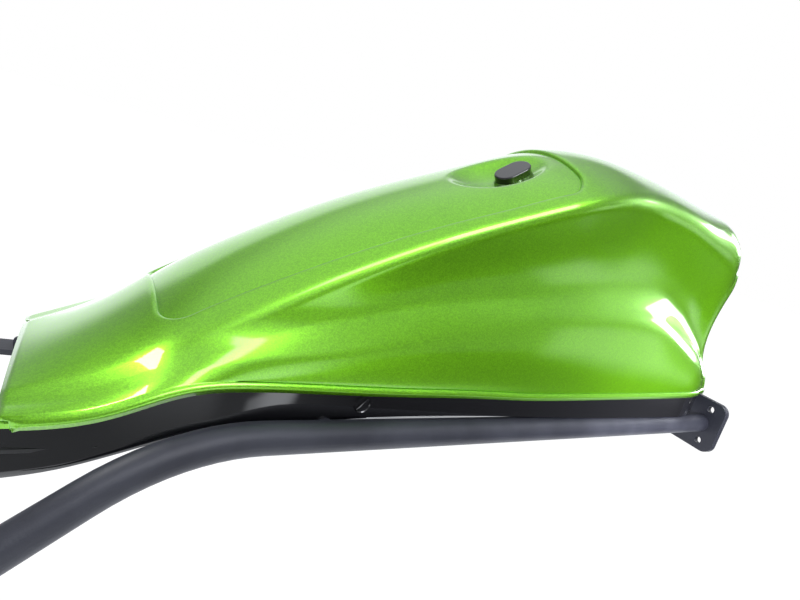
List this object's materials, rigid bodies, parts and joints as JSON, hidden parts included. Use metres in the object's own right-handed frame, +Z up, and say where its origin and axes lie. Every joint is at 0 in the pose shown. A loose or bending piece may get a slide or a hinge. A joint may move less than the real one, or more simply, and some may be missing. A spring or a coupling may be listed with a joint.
{
  "type": "lockable storage cover on frame rails",
  "caption": "Tank-shaped lockable storage cover of a small two-wheeler, with hinged lid, skirt and the frame rails that carry it.",
  "frame": {"origin": "centre of the head plate's front face, where the rails bolt to the vehicle", "axes": "+X forwards, +Y to the left, +Z up; the rails' straight stretches lie in the plane z = 0"},
  "size_m": [0.784, 0.304, 0.3199],
  "materials": {
    "paint": "metallic green paint under clear coat, on a moulded shell",
    "skirt": "gloss black",
    "frame": "satin black textured powder coat",
    "black_plastic": "moulded, fine grain",
    "seal": "matt",
    "steel": "zinc plated",
    "lock_body": "plated"
  },
  "bodies": {
    "base": {"rail_left": "frame", "rail_right": "frame", "cross_tube_front": "frame", "cross_tube_middle": "frame", "cross_tube_rear": "frame", "head_plate": "frame", "tail_lug_left": "frame", "tail_lug_right": "frame", "shell": "paint", "seal": "seal", "rubber_pads": "seal", "keeper": "steel", "hinge_ear_left": "steel", "hinge_ear_right": "steel", "hinge_pin": "steel", "skirt_left": "skirt", "skirt_right": "skirt", "base_pan": "black_plastic", "storage_bin": "black_plastic"},
    "lid": {"lid_skin": "paint", "lid_inner": "black_plastic", "hinge_arm_left": "steel", "hinge_arm_right": "steel", "lock_cam": "steel", "lock_barrel": "lock_body", "lock_cap": "skirt"}
  },
  "joints": [
    {"name": "lid_hinge", "type": "hinge", "parent": "base", "child": "lid", "pos_m": [-0.678, 0, 0.018], "axis": [0, -1, 0], "range_deg": [0, 55]}
  ]
}
